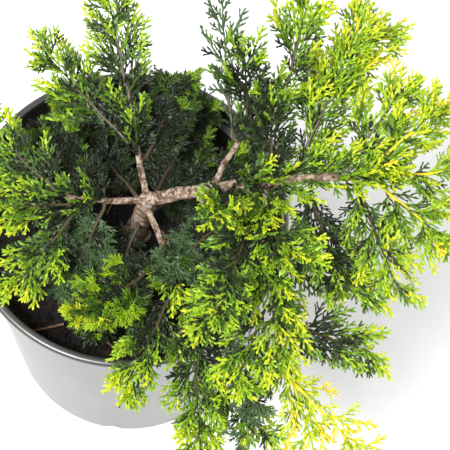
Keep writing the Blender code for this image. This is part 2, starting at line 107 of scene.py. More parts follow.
# Boughs, in mm and degrees, as in the part's source.
Bough = namedtuple(
    "Bough", "name host station heading climb length foot_radius tip_radius turn lift zigzag"
)
BOUGHS = (
    Bough("bough_right", "trunk", 0.95, 3, 23.5, 128, 3.4, 1.5, -8, -10, 5),
    Bough("bough_left", "trunk", 0.93, 194, 18, 43, 1.8, 1.2, -14, 6, 3),
    Bough("bough_rear", "trunk", 0.90, 111, 33, 43, 1.7, 1.2, -6, -8, 3),
    Bough("bough_front", "trunk", 0.84, -61, 0, 60, 1.6, 1.1, 3, -8, 3),
    Bough("bough_rear_right", "bough_right", 0.27, 55, 35, 60, 1.5, 1.0, -28, 0, 5),
    Bough("bough_inner", "bough_right", 0.205, -50, -7, 18, 1.3, 1.0, 0, 0, 2),
    Bough("bough_lower", "bough_right", 0.42, -74, -5, 88, 1.6, 1.0, -18, -22, 4),
    Bough("bough_centre", "bough_right", 0.50, -87, 14, 22, 1.3, 1.0, 6, 0, 2),
)
BOUGH_STEP = 8 * MM

# Masses of foliage, in mm and degrees, as in the part's source; the order gives each its seed.
Mass = namedtuple("Mass", "name host station heading climb length spread leaf tone")
MASSES = (
    Mass("left_upper", "bough_left", 1.00, 150, 23, 51, 22, "scale", "lime"),
    Mass("left", "bough_left", 0.93, -161, 16, 46, 21, "scale", "gold"),
    Mass("left_front", "bough_left", 0.80, -118, -1, 54, 20, "scale", "lime"),
    Mass("left_low", "bough_left", 0.52, -108, -18, 48, 16, "awl", "blue"),
    Mass("left_rear", "bough_left", 0.66, 138, 0, 47, 17, "awl", "green"),
    Mass("rear_left", "bough_rear", 0.72, 145, 21, 67, 21, "scale", "lime"),
    Mass("rear", "bough_rear", 1.00, 112, 31, 68, 20, "scale", "lime"),
    Mass("rear_side", "bough_rear", 0.50, 75, 10, 50, 18, "awl", "green"),
    Mass("inner_left", "trunk", 0.72, 134, -2, 70, 18, "awl", "green"),
    Mass("inner_rear", "trunk", 0.64, 71, 2, 66, 18, "awl", "green"),
    Mass("inner_right", "trunk", 0.56, 34, 8, 66, 17, "awl", "green"),
    Mass("inner_front_left", "trunk", 0.50, -103, -4, 62, 16, "awl", "green"),
    Mass("upright", "bough_rear_right", 0.45, 104, 31, 74, 14, "scale", "blue"),
    Mass("upright_left", "bough_rear_right", 0.66, 109, 60, 40, 16, "scale", "green"),
    Mass("top_rear", "bough_rear_right", 1.00, 82, 42, 53, 21, "scale", "lime"),
    Mass("top_right", "bough_rear_right", 0.86, 38, 15, 70, 20, "scale", "lime"),
    Mass("right_rear", "bough_right", 0.62, 72, 27, 80, 22, "scale", "lime"),
    Mass("right_rear_end", "bough_right", 0.80, 56, 33, 50, 19, "scale", "lime"),
    Mass("right_end_top", "bough_right", 0.90, 36, 45, 48, 18, "scale", "gold"),
    Mass("right_end", "bough_right", 1.00, 0, 28, 42, 20, "scale", "gold"),
    Mass("right_end_low", "bough_right", 0.94, -36, 3, 56, 20, "scale", "gold"),
    Mass("right_hang", "bough_right", 0.85, -60, -17, 58, 19, "scale", "lime"),
    Mass("right_hang_inner", "bough_right", 0.67, -64, -15, 49, 18, "scale", "green"),
    Mass("top_front", "bough_right", 0.37, -98, 47, 46, 17, "scale", "gold"),
    Mass("top_centre", "bough_right", 0.52, 101, 47, 37, 17, "scale", "green"),
    Mass("centre", "bough_centre", 1.00, -53, 33, 36, 19, "scale", "gold"),
    Mass("centre_left", "bough_inner", 1.00, -129, 2, 37, 16, "awl", "blue"),
    Mass("centre_low", "bough_inner", 0.55, -59, -27, 33, 14, "awl", "blue"),
    Mass("lower_top", "bough_lower", 0.24, -100, 19, 62, 19, "scale", "lime"),
    Mass("lower_left", "bough_lower", 0.45, -125, -7, 45, 19, "scale", "lime"),
    Mass("lower_right", "bough_lower", 0.38, -14, -10, 55, 18, "scale", "green"),
    Mass("lower_middle", "bough_lower", 0.72, -104, -9, 41, 18, "scale", "lime"),
    Mass("lower_side", "bough_lower", 0.80, -4, -20, 51, 17, "scale", "green"),
    Mass("lower_end", "bough_lower", 1.00, -36, -9, 71, 19, "scale", "gold"),
    Mass("lower_end_middle", "bough_lower", 0.95, -63, -19, 61, 17, "scale", "lime"),
    Mass("lower_end_left", "bough_lower", 0.88, -97, -29, 53, 17, "awl", "blue"),
    Mass("front_left", "bough_front", 0.55, -132, 9, 52, 20, "awl", "lime"),
    Mass("front_left_low", "bough_front", 0.82, -107, 1, 58, 20, "scale", "lime"),
    Mass("front", "bough_front", 1.00, -79, -5, 80, 21, "scale", "lime"),
    Mass("front_right", "bough_front", 0.93, -53, -8, 78, 19, "scale", "green"),
)

# How stems and their side twigs grow, as in the part's source. Shares run along the stem, from its foot to
# its tip, and angles are in degrees.
STEM_STEP = 9 * MM
STEM_RADIUS = 1.4 * MM
STEM_COLLAR = 2.5 * MM
STEM_LIFT = 14
STEM_ZIGZAG = 4
TWIG_SPACING = 7.8 * MM
TWIG_FIRST = 0.14
TWIG_LAST = 0.90
TWIG_ROLL = 48
TWIGS_AT_LEAST = 4
TWIG_SHIFT = 0.3
TWIG_SEEDS = 1000
TWIG_FOOT_SHARES = (0.1, 0.95)
TWIG_LEAN_AT_FOOT = 1.15
TWIG_LEAN_LOST = 0.45
TWIG_LEAN_VARIES = 6
TWIG_LENGTH_VARIES = (0.85, 1.12)
TWIG_BENDS_AHEAD = 0.28
TWIG_BENDS_UP = (-0.1, 0.16)
STEM_ON_THIN_HOST = 0.8

# How long side twigs are for their place on the stem: they lengthen to the widest place, then shorten.
PLUME_AT_FOOT = 0.6
PLUME_RISE = 1.3
PLUME_WIDEST = 0.3
PLUME_FALL = 0.62
PLUME_FALL_POWER = 1.1

# Finer twigs between those of the source, which only the looks have.
FINE_TWIGS = 2
FINE_LENGTH = 0.86
FINE_LAST = 0.97
FINE_SHIFT = (0.1, 0.9)
FINE_SEED = 50000

# Short growth that stands on the boughs themselves, beyond the bare share of each; spread in mm.
Growth = namedtuple("Growth", "name bare spread leaf tone")
BOUGH_GROWTH = (
    Growth("bough_right", 0.34, 30, "scale", "lime"),
    Growth("bough_left", 0.45, 16, "scale", "green"),
    Growth("bough_rear", 0.50, 17, "scale", "green"),
    Growth("bough_front", 0.40, 20, "scale", "lime"),
    Growth("bough_rear_right", 0.40, 20, "scale", "green"),
    Growth("bough_lower", 0.14, 25, "scale", "lime"),
    Growth("bough_centre", 0.20, 16, "scale", "gold"),
    Growth("bough_inner", 0.30, 14, "awl", "blue"),
)
GROWTH_SPACING = 2.3 * MM
GROWTH_AT_LEAST = 3
GROWTH_LAST = 0.98
GROWTH_ROLL = 125
GROWTH_SIZES = (0.5, 1.0)
GROWTH_SEED = 60000

# How twigs and sprays stand for each kind of leaf, in degrees, and how long a spray is.
Leaf = namedtuple("Leaf", "twig_angle spray_angle spray_length")
LEAVES = {"scale": Leaf(44, 34, 12 * MM), "awl": Leaf(50, 50, 9.5 * MM)}

# Masses that are thin enough for the floor to show between their shoots, and how much brighter they are.
OPEN_MASSES = {"lower_end": 0.36, "lower_end_middle": 0.20, "lower_end_left": 0.0, "upright": 0.0}
OPEN_SPACING = 1.45

# The colours of the sprays, from old growth to new growth at the tips, then the blue of awl leaves with a
# bloom of wax and the brown of a woody stem. The darker tones also serve as painted shade, the brighter
# ones as painted light.
TONES = ("deep", "green", "fresh", "lime", "gold", "amber", "blue", "brown")
TONE_COLOURS = {
    "deep": "#27321B",
    "green": "#43601E",
    "fresh": "#6A901C",
    "lime": "#97B71B",
    "gold": "#C0CC20",
    "amber": "#DFCB2E",
    "blue": "#4E683F",
    "brown": "#4D4028",
}
BLUE = TONES.index("blue")
BLUE_SHARE = 0.7

# The stems of the newest growth are golden too.
GOLDEN_STEMS = ("lower_end", "lower_end_middle", "right_end", "right_end_top", "right_end_low")

# A spray's tone is its youth together with painted light and shade. Youth grows along the stem and along
# the twig, and is shifted for each kind of growth. Masses that stand in more shade get painted shade, a
# shift to darker tones, and masses in more light get painted light, a shift to brighter ones. Each step
# that the sum passes is one tone brighter.
YOUTH_AND_LIGHT_STEPS = (0.30, 0.44, 0.58, 0.80, 1.10)
YOUTH_ALONG_STEM = 0.30
YOUTH_ALONG_TWIG = 0.62
YOUTH_VARIES = 0.16
TONE_SHIFT = {"gold": 0.16, "lime": 0.03, "green": -0.17, "blue": -0.24}
AWL_SHIFT = -0.08
# Painted shade where the shift is below zero, painted light where it is above zero, mass by mass.
SHADE_AND_LIGHT_SHIFT = {
    "centre": -0.20,
    "lower_top": -0.14,
    "top_centre": -0.10,
    "top_front": -0.08,
    "lower_left": -0.06,
    "top_rear": 0.10,
    "top_right": 0.14,
    "right_rear": 0.10,
    "right_rear_end": 0.06,
}

# Growth over the open ground is painted brighter, as painted light, and growth near the trunk painted
# darker, as painted shade, by its distance from the pot's axis.
LIT_FROM = 85 * MM
LIT_SHIFT = 1.7


# Routes and limbs, by the rule of the part's source.

# A direction that no limb follows, from which the rings round a limb take their first side.
ASKEW = np.array((0.31, 0.17, 1.0))

Limb = namedtuple("Limb", "points radii")


def unit(vector):
    return vector / np.linalg.norm(vector)


def direction(heading, climb):
    heading, climb = math.radians(heading), math.radians(climb)
    level = math.cos(climb)
    return np.array((math.cos(heading) * level, math.sin(heading) * level, math.sin(climb)))


def walk(start, heading, climb, length, step, turn, lift, zigzag):
    """Points of a limb that swings by turn and lift over its length and zigzags at each step."""
    count = max(2, round(length / step))
    points = [np.array(start, float)]
    for k in range(count):
        share = (k + 0.5) / count - 0.5
        swing = heading + turn * share + (zigzag if k % 2 else -zigzag)
        points.append(points[-1] + direction(swing, climb + lift * share) * length / count)
    return points


def along(points, share):
    """The point at a share of a route's length, and the route's direction there."""
    runs = [np.linalg.norm(b - a) for a, b in zip(points, points[1:])]
    left = share * sum(runs)
    for a, b, run in zip(points, points[1:], runs):
        if left <= run or b is points[-1]:
            return a + (b - a) * (left / run), unit(b - a)
        left -= run


def length_of(points):
    return sum(np.linalg.norm(b - a) for a, b in zip(points, points[1:]))


def taper(foot, tip, count):
    return [foot + (tip - foot) * k / (count - 1) for k in range(count)]


def ring_frames(points):
    """Two directions across a route at each of its points, carried along it without a twist."""
    heads = [unit(b - a) for a, b in zip(points, points[1:])]
    tangents = [heads[0]] + [unit(a + b) for a, b in zip(heads, heads[1:])] + [heads[-1]]
    across = np.cross(tangents[0], ASKEW)
    frames = []
    for tangent in tangents:
        across = unit(across - tangent * np.dot(across, tangent))
        frames.append((across, np.cross(tangent, across)))
    return frames


def plan_trunk():
    foot = np.array((*TRUNK_FOOT, SOIL_TOP + GAP))
    collar = foot + UP * TRUNK_COLLAR
    run = direction(TRUNK_HEADING, TRUNK_CLIMB) * (TRUNK_LENGTH - TRUNK_COLLAR)
    points = [foot, collar] + [collar + run * share for share in TRUNK_SHARES]
    flare = [TRUNK_FLARE_RADIUS, (TRUNK_FLARE_RADIUS + TRUNK_RADIUS) / 2]
    return Limb(points, flare + [TRUNK_RADIUS * thickness for thickness in TRUNK_THICKNESSES])


def plan_limbs():
    """Every limb's route, each bough from the middle of its host."""
    limbs = {"trunk": plan_trunk()}
    for bough in BOUGHS:
        start, _ = along(limbs[bough.host].points, bough.station)
        swing = (bough.turn, bough.lift, bough.zigzag)
        points = walk(start, bough.heading, bough.climb, bough.length * MM, BOUGH_STEP, *swing)
        radii = taper(bough.foot_radius * MM, bough.tip_radius * MM, len(points))
        limbs[bough.name] = Limb(points, radii)
    return limbs


def plan_stem(mass, limbs):
    """A mass's stem: a short collar that stands square on its host, then a rising run to its tip."""
    host = limbs[mass.host]
    centre, ahead = along(host.points, mass.station)
    aim = direction(mass.heading, mass.climb - STEM_LIFT / 2)
    if mass.station >= 1:
        out = ahead
        foot = centre + out * GAP
        radius = host.radii[-1]
    else:
        out = unit(aim - ahead * np.dot(aim, ahead))
        thick = host.radii[round(mass.station * (len(host.radii) - 1))]
        foot = centre + out * (thick + GAP)
        radius = min(STEM_RADIUS, STEM_ON_THIN_HOST * thick)
    collar = foot + out * STEM_COLLAR
    run = mass.length * MM - STEM_COLLAR
    route = walk(collar, mass.heading, mass.climb, run, STEM_STEP, 0, STEM_LIFT, STEM_ZIGZAG)
    return [centre, foot] + route, radius


def plume(share):
    """How long a side twig is for its place on the stem: widest at a third, narrow at the tip."""
    rise = min(1.0, PLUME_AT_FOOT + PLUME_RISE * share)
    fall = PLUME_FALL * max(0.0, share - PLUME_WIDEST) ** PLUME_FALL_POWER
    return rise * (1.0 - fall)


def plan_twig(plant, route, share, start_roll, swing, seeded, size=1.0):
    """One side twig of a mass or a bough, by the source's rule, and its place on the route."""
    first_foot, last_foot = TWIG_FOOT_SHARES
    foot, ahead = along(route, min(max(share, first_foot), last_foot))
    level = unit(np.cross(ahead, UP))
    above = np.cross(level, ahead)
    roll = math.radians(start_roll + seeded.uniform(-swing, swing))
    side = level * math.cos(roll) + above * math.sin(roll)
    lean = LEAVES[plant.leaf].twig_angle * (TWIG_LEAN_AT_FOOT - TWIG_LEAN_LOST * share)
    angle = math.radians(lean + seeded.uniform(-TWIG_LEAN_VARIES, TWIG_LEAN_VARIES))
    length = plant.spread * MM * plume(share) * seeded.uniform(*TWIG_LENGTH_VARIES) * size
    first = unit(ahead * math.cos(angle) + side * math.sin(angle))
    second = unit(first + ahead * TWIG_BENDS_AHEAD + UP * seeded.uniform(*TWIG_BENDS_UP))
    middle = foot + first * length / 2
    return [foot, middle, middle + second * length / 2], share


def plan_twigs(mass, number, route):
    """The side twigs of the source, then the finer ones between them."""
    span = TWIG_LAST - TWIG_FIRST
    count = max(TWIGS_AT_LEAST, round(mass.length * MM * span / TWIG_SPACING))
    fine_count = 0 if mass.name in OPEN_MASSES else FINE_TWIGS * count
    twigs = []
    for k in range(count):
        seeded = random.Random(TWIG_SEEDS * number + k)
        share = TWIG_FIRST + span * (k + seeded.uniform(-TWIG_SHIFT, TWIG_SHIFT)) / (count - 1)
        twigs.append(plan_twig(mass, route, share, HALF_TURN * (k % 2), TWIG_ROLL, seeded))
    fine = random.Random(FINE_SEED + number)
    for k in range(fine_count):
        share = TWIG_FIRST + (FINE_LAST - TWIG_FIRST) * (k + fine.uniform(*FINE_SHIFT)) / fine_count
        side = HALF_TURN * (k // 2 % 2)
        twigs.append(plan_twig(mass, route, share, side, TWIG_ROLL, fine, FINE_LENGTH))
    return twigs


def plan_growth(growth, number, limb):
    """Short twigs that stand on a bough, most of them on its upper side."""
    seeded = random.Random(GROWTH_SEED + number)
    leafy = length_of(limb.points) * (1 - growth.bare)
    count = max(GROWTH_AT_LEAST, round(leafy / GROWTH_SPACING))
    twigs = []
    for k in range(count):
        share = growth.bare + (GROWTH_LAST - growth.bare) * (k + seeded.random()) / count
        size = seeded.uniform(*GROWTH_SIZES)
        twigs.append(plan_twig(growth, limb.points, share, QUARTER_TURN, GROWTH_ROLL, seeded, size))
    return twigs


# Gathering triangles into one mesh.


class Bundle:
    """Points, triangles and the tone of each triangle, gathered before they become one mesh."""

    def __init__(self):
        self.points = []
        self.faces = []
        self.tones = []
        self.count = 0

    def add(self, points, faces, tone=0):
        self.points.append(points)
        self.faces.append(faces + self.count)
        self.tones.append(np.zeros(len(faces), int) + tone)
        self.count += len(points)

    def arrays(self):
        return tuple(np.concatenate(part) for part in (self.points, self.faces, self.tones))


def add_object(name, data):
    added = bpy.data.objects.new(name, data)
    bpy.context.scene.collection.objects.link(added)
    return added


def add_piece(name, bundle, surfaces, smooth=False):
    """A bundle as one object, with a material slot for each tone."""
    points, faces, tones = bundle.arrays()
    mesh = bpy.data.meshes.new(name)
    mesh.from_pydata(points, [], faces)
    for surface in surfaces:
        mesh.materials.append(surface)
    mesh.polygons.foreach_set("material_index", tones)
    mesh.polygons.foreach_set("use_smooth", np.full(len(faces), smooth))
    mesh.update()
    piece = add_object(name, mesh)
    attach(piece, "root")
    return piece


def ring_faces(rings, sides):
    """Triangles from ring to ring and over both ends; each ring is its first point and its count."""
    faces = []
    for (low, low_count), (high, high_count) in zip(rings, rings[1:]):
        for k in range(sides):
            a, b = low + k % low_count, low + (k + 1) % low_count
            c, d = high + (k + 1) % high_count, high + k % high_count
            if a != b:
                faces.append((a, b, c))
            if c != d:
                faces.append((a, c, d))
    (first, first_count), (last, last_count) = rings[0], rings[-1]
    faces += [(first + k + 1, first + k, first) for k in range(1, first_count - 1)]
    faces += [(last, last + k, last + k + 1) for k in range(1, last_count - 1)]
    return np.array(faces)


def tube(points, radii, sides, twists=None):
    """Points and triangles of a closed tube; a ring of no radius is a point."""
    places, rings = [], []
    twists = twists or [0.0] * len(points)
    turns = np.arange(sides) * 2 * math.pi / sides
    for point, radius, twist, (across, up) in zip(points, radii, twists, ring_frames(points)):
        rings.append((len(places), sides if radius else 1))
        if not radius:
            places.append(point)
            continue
        for turn in turns + twist:
            places.append(point + radius * (across * math.cos(turn) + up * math.sin(turn)))
    return np.array(places), ring_faces(rings, sides)


# Sprays, each made once along +X in its own plane and then set on the twigs.

SPRAY_LENGTHS = (6 * MM, 9 * MM, 13 * MM)
SPRAY_VARIANTS = 5
SPRAY_SEED = 900

# Scale leaves overlap in pairs on cords 1.5 mm thick. The cord is wide on every second step, has a waist on
# the steps between, and turns from pair to pair.
CORD_RADIUS = 0.76 * MM
CORD_STEP = 1.15 * MM
CORD_STEPS_AT_LEAST = 3
CORD_WAIST = 0.62
CORD_THINS = 0.26
CORD_SIDES = 3
BLUNT_TIP = 0.45

# A spray's leading cord bends in its outer part, and its side cords shorten towards its tip. Shares are of
# the spray's length, angles are in degrees, and side cords are older up to a place near the foot.
LEAD_BENDS_AT = 0.55
LEAD_BEND = 0.12
LEAD_RISE = 0.06
SIDE_CORD_SPACING = 3 * MM
SIDE_CORDS_AT_LEAST = 2
SIDE_CORD_FIRST = 0.14
SIDE_CORD_SPAN = 0.58
SIDE_CORD_SHIFT = (0.2, 0.8)
SIDE_CORD_ANGLES = (26, 40)
SIDE_CORD_LIFT = 20
SIDE_CORD_LENGTH = 0.62
SIDE_CORD_LENGTH_LOST = 0.38
SIDE_CORD_THICKNESS = 0.88
OLDER_CORDS_TO = 0.36
LENGTH_VARIES = (0.75, 1.15)

# Awl leaves stand out in whorls of three on a thin shoot, each folded along its middle.
AWL_SHOOT_RADII = (0.42 * MM, 0.36 * MM, 0.0)
AWL_SHOOT_SIDES = 3
AWL_WHORL = 1.45 * MM
AWL_WHORLS_AT_LEAST = 3
AWL_WHORL_FIRST = 0.6
AWLS = 3
AWL_TURN_VARIES = 0.2
AWL_LEANS = (30, 46)
AWL_LEAN_LOST = 18
AWL_LENGTH = 4.4 * MM
AWL_LENGTH_LOST = 0.35
AWL_LENGTH_VARIES = (0.85, 1.1)
AWL_WIDTH = 0.95 * MM
AWL_BELLY = 0.35
AWL_BELLY_OUT = 0.12 * MM
AWL_FOLD = 0.4 * MM
AWL_FACES = np.array(((0, 1, 4), (0, 4, 2), (1, 3, 4), (2, 4, 3)))
AWL_SIDE_SLOPE = 0.75
AWL_SIDE_LIFT = 0.2
AWL_SIDE_FIRST = 0.22
AWL_SIDE_STEP = 0.2
AWL_SIDE_LENGTH = 0.5


def scale_cord(bundle, points, radius, tone=0):
    """A cord of overlapping scale leaves: wide at the tips of each pair, waisted under the next one."""
    length = length_of(points)
    count = max(CORD_STEPS_AT_LEAST, round(length / CORD_STEP))
    places = [along(points, min(k / (count - BLUNT_TIP), 1.0))[0] for k in range(count + 1)]
    radii, twists = [], []
    for k in range(count):
        thin = 1 - CORD_THINS * (k / count) ** 2
        radii.append(radius * thin * (1.0 if k % 2 else CORD_WAIST))
        twists.append(math.pi / CORD_SIDES * ((k + 1) // 2 % 2))
    shape, faces = tube(places, radii + [0.0], CORD_SIDES, twists + [0.0])
    bundle.add(shape, faces, tone)


def scale_spray(length, seeded):
    """A flat feathery spray: a leading cord, a little bent, with side cords left and right by turns.

    The tone is 1 where the spray is older, at its foot.
    """
    bundle = Bundle()
    bend = seeded.uniform(-LEAD_BEND, LEAD_BEND)
    bend_place = np.array((LEAD_BENDS_AT, 0.0, 0.0)) * length
    lead = [np.zeros(3), bend_place, np.array((1.0, bend, LEAD_RISE)) * length]
    scale_cord(bundle, lead, CORD_RADIUS)
    count = max(SIDE_CORDS_AT_LEAST, round(length / SIDE_CORD_SPACING))
    for k in range(count):
        share = SIDE_CORD_FIRST + SIDE_CORD_SPAN * (k + seeded.uniform(*SIDE_CORD_SHIFT)) / count
        angle = math.radians(seeded.uniform(*SIDE_CORD_ANGLES)) * (1 if k % 2 else -1)
        lift = math.radians(seeded.uniform(-SIDE_CORD_LIFT, SIDE_CORD_LIFT))
        side = unit(np.array((math.cos(angle), math.sin(angle), math.sin(lift))))
        longest = length * (SIDE_CORD_LENGTH - SIDE_CORD_LENGTH_LOST * share)
        reach = longest * seeded.uniform(*LENGTH_VARIES)
        foot, _ = along(lead, share)
        older = 1 if share < OLDER_CORDS_TO else 0
        scale_cord(bundle, [foot, foot + side * reach], SIDE_CORD_THICKNESS * CORD_RADIUS, older)
    return bundle.arrays()


def awl_whorls(bundle, start, ahead, length, seeded):
    """A thin shoot with its whorls of awl leaves, more upright towards its tip."""
    count = max(AWL_WHORLS_AT_LEAST, round(length / AWL_WHORL))
    points = [start, start + ahead * length / 2, start + ahead * length]
    bundle.add(*tube(points, AWL_SHOOT_RADII, AWL_SHOOT_SIDES))
    across, up = ring_frames(points)[0]
    for whorl in range(count):
        share = (whorl + AWL_WHORL_FIRST) / count
        foot = start + ahead * length * share
        for k in range(AWLS):
            turn = 2 * math.pi * k / AWLS + (whorl % 2) * math.pi / AWLS
            turn += seeded.uniform(-AWL_TURN_VARIES, AWL_TURN_VARIES)
            out = across * math.cos(turn) + up * math.sin(turn)
            lean = math.radians(seeded.uniform(*AWL_LEANS) - AWL_LEAN_LOST * share)
            heading = ahead * math.cos(lean) + out * math.sin(lean)
            reach = AWL_LENGTH * (1 - AWL_LENGTH_LOST * share) * seeded.uniform(*AWL_LENGTH_VARIES)
            belly = foot + heading * reach * AWL_BELLY + out * AWL_BELLY_OUT
            wide = np.cross(ahead, out) * AWL_WIDTH / 2
            fold = belly - out * AWL_FOLD
            corners = (foot, belly - wide, belly + wide, foot + heading * reach, fold)
            bundle.add(np.array(corners), AWL_FACES)


def awl_spray(length, seeded):
    """A prickly spray: a leading shoot of awl leaves, with a shorter one on either side."""
    bundle = Bundle()
    ahead = np.array((1.0, 0.0, 0.0))
    awl_whorls(bundle, np.zeros(3), ahead, length, seeded)
    for k, hand in enumerate((-1, 1)):
        lift = seeded.uniform(-AWL_SIDE_LIFT, AWL_SIDE_LIFT)
        side = unit(np.array((1.0, hand * AWL_SIDE_SLOPE, lift)))
        foot = ahead * length * (AWL_SIDE_FIRST + AWL_SIDE_STEP * k)
        awl_whorls(bundle, foot, side, AWL_SIDE_LENGTH * length, seeded)
    return bundle.arrays()


def make_sprays():
    """The stock of sprays for each kind of leaf and each length."""
    stock = {}
    for kind, grow in (("scale", scale_spray), ("awl", awl_spray)):
        stock[kind] = []
        for size, length in enumerate(SPRAY_LENGTHS):
            seeded = random.Random(SPRAY_SEED + size)
            stock[kind].append([grow(length, seeded) for _ in range(SPRAY_VARIANTS)])
    return stock


# Twigs with their sprays, for each mass and each bough. Shares run along the twig, angles are in degrees.

TWIG_RADIUS = 0.8 * MM
TWIG_COLOUR_AT = 0.35
TWIG_PLANE_TILTS = 0.45
SPRAY_SPACING = 2.7 * MM
SPRAYS_AT_LEAST = 2
SPRAY_FIRST = 0.10
STEM_SPRAY_FIRST = 0.12
SPRAY_SHIFT = (0.1, 0.6)
SPRAY_ROLL = 38
SPRAY_ANGLE_VARIES = 8
SPRAY_AT_FOOT = 1.1
SPRAY_LENGTH_LOST = 0.5
SPRAY_STRETCH = (0.75, 1.2)
TIP_SPRAY_LENGTH = 0.85
STEM_ROOT_POINTS = 2
STEM_TIP_RADIUS = 0.7 * MM
STEM_SIDES = 7
MASS_SEED = 70000
BOUGH_SEED = 80000

# How far sprays keep off the pot and the mix, and how far they may pass the box of their own mass.
POT_CLEARANCE = 1 * MM
REACH_SLACK = 2.5 * MM


def above_the_pot(points):
    """True where every point stays above the potting mix and off the pot's wall and lip."""
    radius = np.hypot(points[:, 0], points[:, 1])
    in_mix = (points[:, 2] < SOIL_TOP + SOIL_LUMP + POT_CLEARANCE) & (radius < POT_LIP_RADIUS)
    in_wall = (points[:, 2] < POT_HEIGHT + POT_CLEARANCE) & (radius > POT_INNER_RADIUS - POT_CLEARANCE)
    return not (in_mix | in_wall & (radius < POT_LIP_RADIUS + POT_CLEARANCE)).any()


def in_reach(points, low, high):
    """True where every point stays within the mass's own reach."""
    return bool((points >= low).all() and (points <= high).all())


def pick_tone(plant, share, at, foot, seeded):
    """A spray's colour, deep green to gold, by its age and by painted shade and painted light."""
    if plant.tone == "blue" and seeded.random() < BLUE_SHARE:
        return BLUE
    youth_and_light = YOUTH_ALONG_STEM * share + YOUTH_ALONG_TWIG * at + TONE_SHIFT[plant.tone]
    youth_and_light += seeded.uniform(-YOUTH_VARIES, YOUTH_VARIES)
    youth_and_light += OPEN_MASSES.get(plant.name, 0.0) + (AWL_SHIFT if plant.leaf == "awl" else 0.0)
    # Painted shade for shaded masses, painted light for lit ones.
    youth_and_light += SHADE_AND_LIGHT_SHIFT.get(plant.name, 0.0)
    # Painted light over the open ground, painted shade near the trunk.
    youth_and_light += LIT_SHIFT * (math.hypot(foot[0], foot[1]) - LIT_FROM)
    return sum(youth_and_light > step for step in YOUTH_AND_LIGHT_STEPS)


def set_spray(leaves, shapes, foot, ahead, normal, length, tone, limits, seeded):
    """Sets one spray at a foot, along a direction, in the plane square to a normal."""
    misfits = [abs(length - known) for known in SPRAY_LENGTHS]
    size = misfits.index(min(misfits))
    shape, faces, older = seeded.choice(shapes[size])
    shortest, longest = SPRAY_STRETCH
    stretch = min(max(length / SPRAY_LENGTHS[size], shortest), longest)
    ahead = unit(ahead)
    side = unit(np.cross(normal, ahead))
    axes = np.array((ahead, side, np.cross(ahead, side)))
    points = foot + shape * np.array((stretch, stretch, 1.0)) @ axes
    if above_the_pot(points) and in_reach(points, *limits):
        leaves.add(points, faces, tone if tone == BLUE else np.maximum(tone - older, 0))


def grow_twig(wood, leaves, shapes, plant, points, share, limits, seeded):
    """One twig in its coat of scale leaves, with the sprays that stand on it left and right by turns.

    The share is the twig's place on its stem, and None for the stem itself.
    """
    leaf = LEAVES[plant.leaf]
    stem = share is None
    coat = pick_tone(plant, share or 0.0, TWIG_COLOUR_AT, points[0], seeded)
    scale_cord(wood, points, TWIG_RADIUS, coat)
    first = STEM_SPRAY_FIRST if stem else SPRAY_FIRST
    spacing = SPRAY_SPACING * (OPEN_SPACING if plant.name in OPEN_MASSES else 1.0)
    count = max(SPRAYS_AT_LEAST, round(length_of(points) * (1 - first) / spacing))
    normal = UP if stem else unit(UP + direction(seeded.uniform(0, FULL_TURN), 0) * TWIG_PLANE_TILTS)
    for k in range(count):
        at = first + (1 - first) * (k + seeded.uniform(*SPRAY_SHIFT)) / count
        foot, ahead = along(points, at)
        side = unit(np.cross(normal, ahead)) * (1 if k % 2 else -1)
        roll = math.radians(seeded.uniform(-SPRAY_ROLL, SPRAY_ROLL))
        side = unit(side * math.cos(roll) + np.cross(ahead, side) * math.sin(roll))
        angle = math.radians(leaf.spray_angle + seeded.uniform(-SPRAY_ANGLE_VARIES, SPRAY_ANGLE_VARIES))
        heading = ahead * math.cos(angle) + side * math.sin(angle)
        longest = leaf.spray_length * (SPRAY_AT_FOOT - SPRAY_LENGTH_LOST * at)
        reach = longest * seeded.uniform(*LENGTH_VARIES)
        tone = pick_tone(plant, at if stem else share, at, foot, seeded)
        plane = np.cross(heading, side - heading * np.dot(heading, side))
        set_spray(leaves, shapes, foot, heading, plane, reach, tone, limits, seeded)
    foot, ahead = along(points, 1.0)
    tone = pick_tone(plant, share or 1.0, 1.0, foot, seeded)
    reach = TIP_SPRAY_LENGTH * leaf.spray_length
    set_spray(leaves, shapes, foot, ahead, normal, reach, tone, limits, seeded)


def add_growth(name, wood, leaves, surfaces):
    """The twigs and the sprays of a mass or a bough, as a piece each."""
    pieces = []
    for kind, bundle in (("twigs_", wood), ("sprays_", leaves)):
        pieces.append(add_piece(kind + name, bundle, surfaces))
    return pieces


def grow_mass(mass, number, limbs, stock, surfaces):
    """A mass: its stem, woody up to its middle, with its twigs, its fine twigs and their sprays."""
    route, radius = plan_stem(mass, limbs)
    low, high = (np.array(corner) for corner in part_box("mass_" + mass.name))
    limits = (low - REACH_SLACK, high + REACH_SLACK)
    seeded = random.Random(MASS_SEED + number)
    wood, leaves = Bundle(), Bundle()
    woody = route[: STEM_ROOT_POINTS + len(route) // 2]
    stem_tone = TONES.index("amber" if mass.name in GOLDEN_STEMS else "brown")
    wood.add(*tube(woody, taper(radius, STEM_TIP_RADIUS, len(woody)), STEM_SIDES), stem_tone)
    for points, share in [(route, None)] + plan_twigs(mass, number, route[1:]):
        if above_the_pot(np.array(points[1:])):
            grow_twig(wood, leaves, stock[mass.leaf], mass, points, share, limits, seeded)
    for piece in add_growth(mass.name, wood, leaves, surfaces):
        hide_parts("mass_" + mass.name)


def grow_bough(growth, number, limbs, stock, surfaces):
    """The short growth on a bough, within the box of the whole part."""
    limits = tuple(np.array(corner) for corner in cad_box)
    seeded = random.Random(BOUGH_SEED + number)
    wood, leaves = Bundle(), Bundle()
    for points, share in plan_growth(growth, number, limbs[growth.name]):
        if above_the_pot(np.array(points)):
            grow_twig(wood, leaves, stock[growth.leaf], growth, points, share, limits, seeded)
    add_growth(growth.name, wood, leaves, surfaces)


# Bark. Depths are shares of the limb's radius, and waves are in radians for each mm along the limb. Five
# phases set where the waves begin, and a sixth is drawn and left spare.

